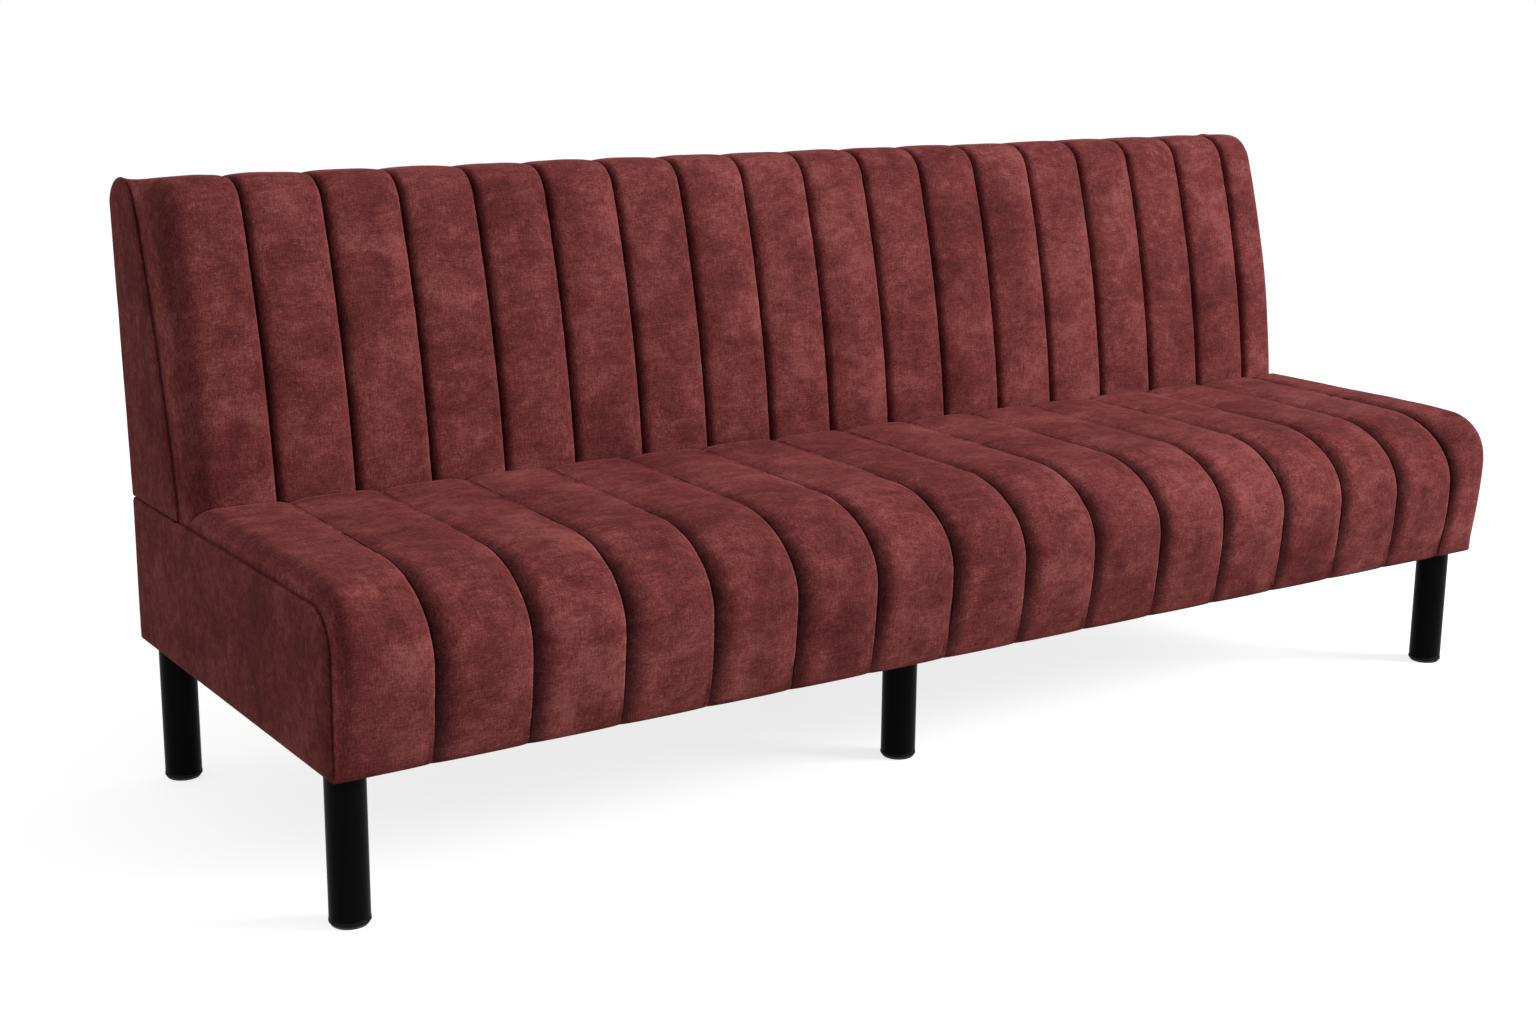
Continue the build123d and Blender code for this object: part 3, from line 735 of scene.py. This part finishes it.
def seat_cushion():
    """Seat with its channels, over the foam and down its front"""
    seam = seat_outer(
        front=-0.012, top=SEAT_TOP - 0.014, bend=(0.134, 0.095), foot=0.001,
        rear=SEAT_REAR, rear_top=SEAT_TOP - 0.005,
    )
    crown = seat_outer(
        front=-0.029, top=SEAT_TOP - 0.001, bend=(0.130, 0.098), foot=-0.003,
        rear=SEAT_REAR, rear_top=SEAT_TOP + 0.002,
    )
    corner = seat_outer(
        front=-0.030, top=SEAT_TOP, bend=(0.062, 0.058), foot=-0.003,
        rear=SEAT_REAR + 0.008, rear_top=SEAT_TOP,
    )
    inner = [(INNER_FRONT, z) for z in (UNDERSIDE, 0.26, 0.3253)]
    inner += [(0.0139, 0.3466), (0.0258, 0.3642), (0.0434, 0.3761)]
    inner += [(y, INNER_TOP) for y in (0.0647, 0.20, 0.32, SEAT_REAR - 0.002)]
    rows = stations(seam_places(None, SEAT_LAST, SEAT_CHANNELS, HALF_CUSHION), SEAT_END_REACH)
    sections = [seam, crown, corner, SEAT_END]
    return channelled(
        "seat_channels", rows, sections, inner, SEAT_POINTS, seed=1.0, folds=seat_folds, shading=SEAT_SHADE,
    )


# Front face of the back's carcass at the knee, and the bevel under its top
CARCASS_KNEE = 0.510
BEVEL_HEIGHT = 0.018
BEVEL_REAR = 0.60625

# Points round the outside of the back's section, and the section at its sewn ends
BACK_POINTS = 110
SHOULDER = BACK_FOOT + BACK_RECLINE * (BACK_SHOULDER - BACK_KNEE)
BACK_END = back_outer(BACK_FOOT + 0.060, SHOULDER + 0.086, BACK_TOP + 0.002, bulge=0.009)


def back_cushion():
    """Back with its channels, up its front and over its top"""
    seam = back_outer(BACK_FOOT + 0.009, SHOULDER + 0.007, BACK_TOP, bulge=0.009)
    crown = back_outer(BACK_FOOT - 0.004, SHOULDER - 0.009, BACK_TOP + 0.008, bulge=0.012)
    corner = back_outer(BACK_FOOT + 0.002, SHOULDER - 0.003, BACK_TOP + 0.006, bulge=0.012)
    bevel = BACK_INNER_TOP - BEVEL_HEIGHT
    inner = [(BEVEL_REAR, BACK_INNER_TOP), (CARCASS_KNEE + BACK_RECLINE * (bevel - BACK_KNEE), bevel)]
    inner += [(0.5493, 0.60), (CARCASS_KNEE, BACK_KNEE), (CARCASS_KNEE, 0.37), (CARCASS_KNEE, BACK_LOW)]
    rows = stations(seam_places(BACK_FIRST, BACK_LAST, BACK_CHANNELS, HALF_CUSHION), BACK_END_REACH)
    sections = [seam, crown, corner, BACK_END]
    return channelled(
        "back_channels", rows, sections, inner, BACK_POINTS, seed=5.0, folds=back_folds, shading=BACK_SHADE,
    )


soft(seat_cushion(), VELVET, "channelled_velvet", 0.85, "seat_cushion")
soft(back_cushion(), VELVET, "channelled_velvet", 0.85, "back_cushion")


# Padded covers


# Where the end and rear covers start, outside the carcass, and their thickness and fullness
END_FACE = 0.9943
REAR_HALF = 0.9932
REAR_INSET = 0.0027
END_PAD = (0.0052, 0.0022)
REAR_PAD = (0.0022, 0.0010)
COVER_GAP = 0.0005
END_COVER_TOP = BACK_TOP + 0.0014
REAR_COVER_TOP = BACK_INNER_TOP - 0.0007

# Width of a cover's rolled edge and its roundness, how far in it is full, how far its flat
# underside lies behind the grid, and its relief
ROLL, ROLL_POWER, CROWN_REACH = 0.010, 2.4, 0.05
PAD_BEHIND = 0.0002
COVER_LIE, COVER_PULL, COVER_PULL_REACH = 0.0007, 0.0004, 0.02


def spaced(count):
    """Shares from 0 to 1, denser at both ends"""
    return [0.5 - 0.5 * math.cos(math.pi * k / (count - 1)) for k in range(count)]


def border_of(rows, columns):
    """Rows and columns of a grid's outline, in order"""
    loop = [(0, c) for c in range(columns)] + [(r, columns - 1) for r in range(1, rows)]
    loop += [(rows - 1, c) for c in range(columns - 2, -1, -1)]
    return loop + [(r, 0) for r in range(rows - 2, 0, -1)]


def pad_relief(point, d, size, seed):
    """How far a cover stands out at a point whose distance to the edge is d"""
    thick, crown = size
    roll = 1 - (1 - min(1.0, d / ROLL)) ** ROLL_POWER
    out = thick * math.sqrt(max(0.0, roll)) + crown * (1 - math.exp(-d / CROWN_REACH))
    lie = COVER_LIE * ripple(point[0] + point[1], point[2], seed, scale=0.10)
    pull = COVER_PULL * math.exp(-d / COVER_PULL_REACH)
    pull *= ripple(point[0] + point[1], point[2], seed + 1, scale=0.016)
    return out + (lie + pull) * min(1.0, d / ROLL)


def pad(name, grid, way, size, seed):
    """Closed padded cover over a flat grid of points: rolled at its edge and a little full"""
    grid = np.array(grid)
    rows, columns = grid.shape[:2]
    loop = border_of(rows, columns)
    border = np.array([grid[i] for i in loop])
    ahead = np.roll(border, -1, 0) - border
    long = (ahead ** 2).sum(1) + 1e-12
    verts, crease = [], []
    for point in grid.reshape(-1, 3):
        t = np.clip(((point - border) * ahead).sum(1) / long, 0, 1)
        d = float(np.sqrt(((border + ahead * t[:, None] - point) ** 2).sum(1).min()))
        verts.append(tuple(point + np.array(way) * pad_relief(point, d, size, seed)))
        # Distance to the cover's edge, read by the velvet for its painted edge shade
        crease.append(d + SEAM_HALF)
    shift = len(verts)
    verts += [tuple(point - np.array(way) * PAD_BEHIND) for point in grid.reshape(-1, 3)]
    crease += [FAR] * shift
    faces = []
    for r in range(rows - 1):
        for c in range(columns - 1):
            a = r * columns + c
            quad = (a, a + 1, a + 1 + columns, a + columns)
            faces += [quad, tuple(shift + i for i in reversed(quad))]
    ids = [r * columns + c for r, c in loop]
    for a, b in zip(ids, ids[1:] + ids[:1]):
        faces.append((a, b, shift + b, shift + a))
    mesh = bpy.data.meshes.new(name)
    mesh.from_pydata(verts, [], faces)
    mesh.attributes.new("crease", "FLOAT", "POINT").data.foreach_set("value", crease)
    return finish_mesh(name, mesh)


def side_grid(sign, low, high, front, rear, rows, columns):
    """Grid over an end face between a front and a rear curve"""
    grid = []
    for v in spaced(rows):
        z = low + (high - low) * v
        a, b = front(z), rear(z)
        grid.append([(sign * END_FACE, a + (b - a) * u + DEPTH_SHIFT, z) for u in spaced(columns)])
    return grid


def rear_grid(low, high, depth, rows, columns):
    """Grid over the rear between two heights, at the depth of each height"""
    across = [-1 + 2 * u for u in spaced(columns)]
    heights = [low + (high - low) * v for v in spaced(rows)]
    return [[(u * REAR_HALF, depth(z) + DEPTH_SHIFT, z) for u in across] for z in heights]


def rear_line(z):
    """Depth of the back's rear face at a height"""
    return BASE_DEPTH + REAR_SLOPE * (z - PARTING)


def branch(points, rising):
    """Depth over height of the front or rear side of a section curve"""
    top = int(points[:, 1].argmax())
    part = points[:top + 1] if rising else points[top:][::-1]
    heights = np.maximum.accumulate(part[:, 1])
    return lambda z: float(np.interp(z, heights, part[:, 0]))


seat_front = branch(SEAT_END[::-1], True)
back_front = branch(BACK_END, True)
back_round = branch(BACK_END, False)


def back_rear(z):
    """Depth of the rear edge of the back's end, up over its rounding"""
    return rear_line(z) if z <= BACK_INNER_TOP else back_round(z)


def base_rear(z):
    """Depth of the rear edge of the base's end"""
    return BASE_DEPTH - COVER_GAP


def end_covers(sign, side):
    """Padded covers of the base and the back at one end"""
    way = (sign, 0, 0)
    low, high = UNDERSIDE + COVER_GAP, PARTING - CLEAR
    grid = side_grid(sign, low, high, seat_front, base_rear, rows=40, columns=70)
    panel = pad("base_end_" + side, grid, way, END_PAD, seed=11 + sign)
    soft(panel, VELVET_PLAIN, "plain_velvet", 0.9, "seat_side_" + side)
    low, high = BACK_COVER_LOW + CLEAR, END_COVER_TOP
    grid = side_grid(sign, low, high, back_front, back_rear, rows=84, columns=40)
    panel = pad("back_end_" + side, grid, way, END_PAD, seed=15 + sign)
    soft(panel, VELVET_PLAIN, "plain_velvet", 0.9, "back_side_" + side)


def rear_covers():
    """Plain covers over the rear of the base and of the back"""
    low, high = UNDERSIDE + COVER_GAP, PARTING - CLEAR
    grid = rear_grid(low, high, lambda z: BASE_DEPTH - REAR_INSET, rows=26, columns=120)
    panel = pad("base_rear_panel", grid, (0, 1, 0), REAR_PAD, seed=21)
    soft(panel, VELVET_PLAIN, "plain_velvet", 0.95, "base_rear_cover")
    lean = math.atan(REAR_SLOPE)
    way = (0, math.cos(lean), -math.sin(lean))
    low, high = BACK_COVER_LOW + CLEAR, REAR_COVER_TOP
    grid = rear_grid(low, high, lambda z: rear_line(z) - REAR_INSET, rows=34, columns=120)
    panel = pad("back_rear_panel", grid, way, REAR_PAD, seed=23)
    soft(panel, VELVET_PLAIN, "plain_velvet", 0.95, "back_rear_cover")


end_covers(-1, "left")
end_covers(1, "right")
rear_covers()


# Hidden soft layers


# Rounded front of the foam, its top and its underside, and how its ends are pinched
FOAM_CENTRE = (0.065, 0.325)
FOAM_RADIUS = 0.055
FOAM_TOP = 0.38
FOAM_LOW = 0.3446
FOAM_PINCH, FOAM_SOFT_END = 0.004, 0.006


def foam_layer():
    """Foam under the seat cushion, rounded at its front and softly at its edges"""
    (y, z), low, top, rear = FOAM_CENTRE, FOAM_LOW, FOAM_TOP, SEAT_REAR - CLEAR
    front_low = y - math.sqrt(FOAM_RADIUS ** 2 - (low - z) ** 2) + 0.002
    section = straight((rear - 0.004, top), (y, top), count=20)
    section += arc(FOAM_CENTRE, FOAM_RADIUS, 90, 150, count=12)[1:]
    section += straight((front_low, low + 0.0003), (rear - 0.004, low + 0.0003), count=20)
    section += [(rear - 0.001, low + 0.003), (rear, low + 0.006)]
    section += [(rear, top - 0.006), (rear - 0.001, top - 0.002)]
    centre = np.array([0.24, (low + top) / 2])
    rings = []
    for u in spaced(60):
        x = HALF_CUSHION * (2 * u - 1)
        inset = FOAM_PINCH * (1 - min(1.0, (HALF_CUSHION - abs(x)) / FOAM_SOFT_END)) ** 2
        ring = []
        for point in section:
            away = np.array(point) - centre
            ring.append(tuple(np.array(point) - away / np.hypot(*away) * inset))
        rings.append([(x, a + DEPTH_SHIFT, b) for a, b in ring])
    return closed_rows("seat_foam_layer", rings)


soft(foam_layer(), FOAM, "foam", 1.0, "seat_foam")

# Mesh width of the dust cloth, its leg holes, its slack and its thickness
CLOTH_STEP = 0.0075
LEG_HOLE = 0.0262
SLACK, CLOTH_FOLD = 0.0016, 0.0007
CLOTH_THICK = 0.0006


def cloth_point(x, y):
    """Point of the dust cloth, moved onto the rim of a leg's hole close to it, and whether it is cut"""
    gap, cut = 1.0, False
    px, py = x, y
    for a, b in LEGS.values():
        far = math.hypot(x - a, y - b)
        cut = cut or far < LEG_HOLE - CLOTH_STEP * 0.45
        if LEG_HOLE - CLOTH_STEP * 0.45 <= far < LEG_HOLE + CLOTH_STEP * 0.55:
            px, py = a + (x - a) * LEG_HOLE / far, b + (y - b) * LEG_HOLE / far
        gap = min(gap, max(0.0, far - LEG_HOLE))
    edge = min(HALF_CUSHION - abs(x), y - CARCASS_FRONT, CARCASS_REAR - y, gap)
    slack = SLACK * (1 - math.exp(-edge / 0.05))
    fold = CLOTH_FOLD * (1 - math.exp(-edge / 0.01)) * ripple(x * 0.6, y * 1.4, 31, scale=0.07)
    return (px, py + DEPTH_SHIFT, UNDERSIDE + CLEAR - slack + fold), cut


def dust_sheet():
    """Black cloth stapled under the base, a little slack between the boards, with holes for the legs"""
    xs = np.linspace(-HALF_CUSHION + CLEAR, HALF_CUSHION - CLEAR, 266)
    ys = np.linspace(CARCASS_FRONT + CLEAR, CARCASS_REAR - CLEAR, 88)
    points = [cloth_point(x, y) for y in ys for x in xs]
    count = len(xs)
    faces = []
    for r in range(len(ys) - 1):
        for c in range(count - 1):
            quad = (r * count + c, r * count + c + 1, (r + 1) * count + c + 1, (r + 1) * count + c)
            if not any(points[i][1] for i in quad):
                faces.append(quad)
    mesh = bpy.data.meshes.new("dust_sheet")
    mesh.from_pydata([point for point, cut in points], [], faces)
    work = bmesh.new()
    work.from_mesh(mesh)
    bmesh.ops.delete(work, geom=[v for v in work.verts if not v.link_faces], context="VERTS")
    for face in work.faces:
        face.smooth = True
    work.to_mesh(mesh)
    work.free()
    item = placed(bpy.data.objects.new("dust_sheet", mesh))
    thick = item.modifiers.new("thickness", "SOLIDIFY")
    thick.thickness = CLOTH_THICK
    thick.offset = 1.0
    return item


dust = dust_sheet()
dress(dust, DUST)
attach(dust, "bench")
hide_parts("dust_cover")

# Staples: distance from the carcass's edge, steps of their skew in radians, half length, half
# width and half height of the wire, and its sides and rings
STAPLE_INSET = 0.009
STAPLE_SKEW = 0.08
STAPLE_HALF = 0.0048
WIRE_WIDE, WIRE_HIGH = 0.00055, 0.0003
STAPLE_SIDES, STAPLE_RINGS = 6, 12


def staple_places():
    """Place and turn of each staple along the edges of the dust cloth"""
    spots = []
    for k in range(31):
        x = -0.93 + 1.86 * k / 30
        spots.append((x, CARCASS_FRONT + STAPLE_INSET, STAPLE_SKEW * ((k * 7) % 5 - 2)))
        spots.append((x, CARCASS_REAR - STAPLE_INSET, STAPLE_SKEW * ((k * 3) % 5 - 2)))
    for k in range(9):
        y = 0.10 + 0.46 * k / 8
        for side in (-1, 1):
            turn = math.pi / 2 + STAPLE_SKEW * ((k * 5) % 5 - 2)
            spots.append((side * (HALF_CUSHION - STAPLE_INSET), y, turn))
    return spots


def staple_ring(work, x, y, turn, along):
    """Corners of the wire of a staple at a distance along it from its middle"""
    lift = 0.0004 * (1 - (along / STAPLE_HALF) ** 4)
    ring = []
    for k in range(STAPLE_SIDES):
        t = 2 * math.pi * k / STAPLE_SIDES
        across, up = WIRE_WIDE * math.cos(t), WIRE_HIGH * math.sin(t) - lift
        px = x + along * math.cos(turn) - across * math.sin(turn)
        py = y + along * math.sin(turn) + across * math.cos(turn)
        ring.append(work.verts.new((px, py + DEPTH_SHIFT, UNDERSIDE - 0.0002 + up)))
    return ring


def staples():
    """Wire staples along the edges of the dust cloth"""
    work = bmesh.new()
    for x, y, turn in staple_places():
        last = None
        for part in range(STAPLE_RINGS):
            along = -STAPLE_HALF + 2 * STAPLE_HALF * part / (STAPLE_RINGS - 1)
            ring = staple_ring(work, x, y, turn, along)
            if last is None:
                work.faces.new(ring)
            else:
                for k in range(STAPLE_SIDES):
                    n = (k + 1) % STAPLE_SIDES
                    work.faces.new((last[k], last[n], ring[n], ring[k]))
            last = ring
        work.faces.new(last)
    mesh = bpy.data.meshes.new("dust_staples")
    work.to_mesh(mesh)
    work.free()
    return finish_mesh("dust_staples", mesh)


pins = staples()
dress(pins, ZINC)
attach(pins, "bench")


# Knurled feet


# Heights and chamfer of the knurled rim, its radii, and how far it and its teeth stand out
RIM_LOW, RIM_HIGH, RIM_CHAMFER = 0.00420, 0.00840, 0.00035
RIM_INNER, RIM_OUTER = 0.0240, 0.02490
RIM_STAND, TOOTH = 0.00012, 0.00042
TEETH = 72
TOOTH_SHAPE = (0.0, 0.6, 1.0, 0.6)


def ring_at(place, radii, z):
    """Points round a leg's axis at a height, one for each radius"""
    turns = [2 * math.pi * k / len(radii) for k in range(len(radii))]
    x, y = place[0], place[1] + DEPTH_SHIFT
    return [(x + r * math.cos(t), y + r * math.sin(t), z) for r, t in zip(radii, turns)]


def knurl(name, place):
    """Knurled rim of a foot disc: fine teeth round it, chamfered at both ends"""
    rings = []
    low, high = RIM_LOW + RIM_CHAMFER, RIM_HIGH - RIM_CHAMFER
    for z, full in ((RIM_LOW, 0.0), (low, 1.0), (high, 1.0), (RIM_HIGH, 0.0)):
        radii = [RIM_OUTER + full * (RIM_STAND + TOOTH * tooth) for tooth in TOOTH_SHAPE * TEETH]
        rings.append(ring_at(place, radii, z))
    steps = len(rings[0])
    for z in (RIM_HIGH, RIM_LOW):
        rings.append(ring_at(place, [RIM_INNER] * steps, z))
    faces = []
    for r in range(len(rings)):
        here, above = r * steps, (r + 1) % len(rings) * steps
        for k in range(steps):
            n = (k + 1) % steps
            faces.append((here + k, here + n, above + n, above + k))
    mesh = bpy.data.meshes.new(name)
    mesh.from_pydata([p for ring in rings for p in ring], [], faces)
    return finish_mesh(name, mesh, False)


for leg, place in LEGS.items():
    rim = knurl("foot_knurl_" + leg, place)
    dress(rim, FOOT_BLACK)
    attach(rim, "screw_" + leg)


# Frame nodes, by what their names start with; the rest are soft covers


FINISHES = [
    (LEG_BLACK, ("leg_tube",)),
    (FOOT_BLACK, ("foot_screw",)),
    (PLASTIC, ("foot_glide", "leg_thread_inserts")),
    (ZINC, ("leg_top_plugs", "leg_tee_nuts", "back_bolts", "back_bolt_nuts")),
    (PINE, ("front_rail", "rear_rail")),
    (PINE_CROSS, ("end_rail", "cross_rail", "corner_blocks")),
    (PLY_UPRIGHT, ("back_rib",)),
    (PLY, ("seat_deck", "leg_board", "back_panel", "back_kick_board", "back_bottom_board", "back_top_board")),
    (DUST, ("dust_cover",)),
    (FOAM, ("seat_foam",)),
]
for name, item in NODES.items():
    dress(item, next((m for m, starts in FINISHES if name.startswith(starts)), VELVET_PLAIN))


# Stage, light, camera


FLOOR_HALF = 14.0
FLOOR_DARK = 0.42
FLOOR_SHADE = 0.50
FLOOR_WHITE = 0.78
WORLD = 0.47


def seen_ray(nodes, links):
    """1 for rays that show the background: camera, glossy and transmission"""
    path = nodes.new("ShaderNodeLightPath")
    seen = math_node(nodes, links, "MAXIMUM", path.outputs["Is Camera Ray"], path.outputs["Is Glossy Ray"])
    return math_node(nodes, links, "MAXIMUM", seen, path.outputs["Is Transmission Ray"])


def seen_mix(nodes, links, lighting, seen, output):
    """Sends one shader to the rays that light the scene and another to those that show it"""
    mix = nodes.new("ShaderNodeMixShader")
    links.new(seen_ray(nodes, links), mix.inputs[0])
    links.new(lighting.outputs[0], mix.inputs[1])
    links.new(seen.outputs[0], mix.inputs[2])
    links.new(mix.outputs[0], output.inputs["Surface"])


def floor():
    """Pale floor that keeps the shadows and is nearly white to the camera"""
    r = FLOOR_HALF
    mesh = bpy.data.meshes.new("floor")
    mesh.from_pydata([(-r, -r, 0), (r, -r, 0), (r, r, 0), (-r, r, 0)], [], [(0, 1, 2, 3)])
    item = placed(bpy.data.objects.new("floor", mesh))
    stone = Finish("floor_white")
    stone.set(Base_Color=(FLOOR_DARK, FLOOR_DARK, FLOOR_DARK, 1), Roughness=0.9, Specular_IOR_Level=0.0)
    pale = stone.new("BsdfDiffuse", Color=(FLOOR_SHADE, FLOOR_SHADE, FLOOR_SHADE, 1))
    white = stone.new("Emission", Strength=FLOOR_WHITE)
    both = stone.new("AddShader")
    stone.links.new(pale.outputs[0], both.inputs[0])
    stone.links.new(white.outputs[0], both.inputs[1])
    seen_mix(stone.nodes, stone.links, stone.shader, both, stone.nodes["Material Output"])
    dress(item, stone.material)


def whitened(n, strength):
    """The same background node, made white with a strength"""
    n.inputs["Color"].default_value = (1, 1, 1, 1)
    n.inputs["Strength"].default_value = strength
    return n


def studio():
    """World that lights softly and is white where it is seen"""
    world = bpy.data.worlds.new("studio")
    bpy.context.scene.world = world
    world.use_nodes = True
    nodes, links = world.node_tree.nodes, world.node_tree.links
    dim = whitened(nodes["Background"], WORLD)
    white = whitened(nodes.new("ShaderNodeBackground"), 1.0)
    seen_mix(nodes, links, dim, white, nodes["World Output"])


def lamp(name, place, target, size, power):
    """Rectangular softbox that points at a target"""
    data = bpy.data.lights.new(name, "AREA")
    data.shape = "RECTANGLE"
    data.size, data.size_y = size
    data.energy = power
    item = placed(bpy.data.objects.new(name, data))
    item.location = place
    item.rotation_euler = (Vector(target) - Vector(place)).to_track_quat("-Z", "Y").to_euler()


def camera_matrix(place, yaw, pitch, roll):
    """Camera matrix of a place and a yaw, a pitch down and a roll in degrees"""
    a, b, c = math.radians(yaw), math.radians(pitch), math.radians(roll)
    right = Vector((math.cos(a), math.sin(a), 0))
    level = Vector((-math.sin(a), math.cos(a), 0))
    ahead = level * math.cos(b) - Vector((0, 0, 1)) * math.sin(b)
    up = Vector((0, 0, 1)) * math.cos(b) + level * math.sin(b)
    x = right * math.cos(c) + up * math.sin(c)
    y = up * math.cos(c) - right * math.sin(c)
    columns = [(*x, 0), (*y, 0), (*(-ahead), 0), (*place, 1)]
    return Matrix(columns).transposed()


def photo_camera():
    """Camera with the place, turn, lens and shift fitted to the photograph"""
    data = bpy.data.cameras.new("camera")
    data.sensor_width = 36.0
    data.sensor_fit = "HORIZONTAL"
    data.lens = 50.27
    data.shift_y = -0.0149
    data.clip_end = 60
    camera = placed(bpy.data.objects.new("camera", data))
    camera.matrix_world = camera_matrix((-1.8799, -2.5165, 1.0827), yaw=-34.115, pitch=13.113, roll=0.565)
    bpy.context.scene.camera = camera


floor()
studio()
lamp("key", place=(5.2, -3.9, 3.0), target=(0.1, 0, 0.45), size=(2.4, 2.0), power=430)
lamp("top", place=(0.3, -0.2, 3.6), target=(0, 0, 0.4), size=(3.2, 2.0), power=18)
photo_camera()
bpy.context.scene.view_settings.view_transform = "Standard"
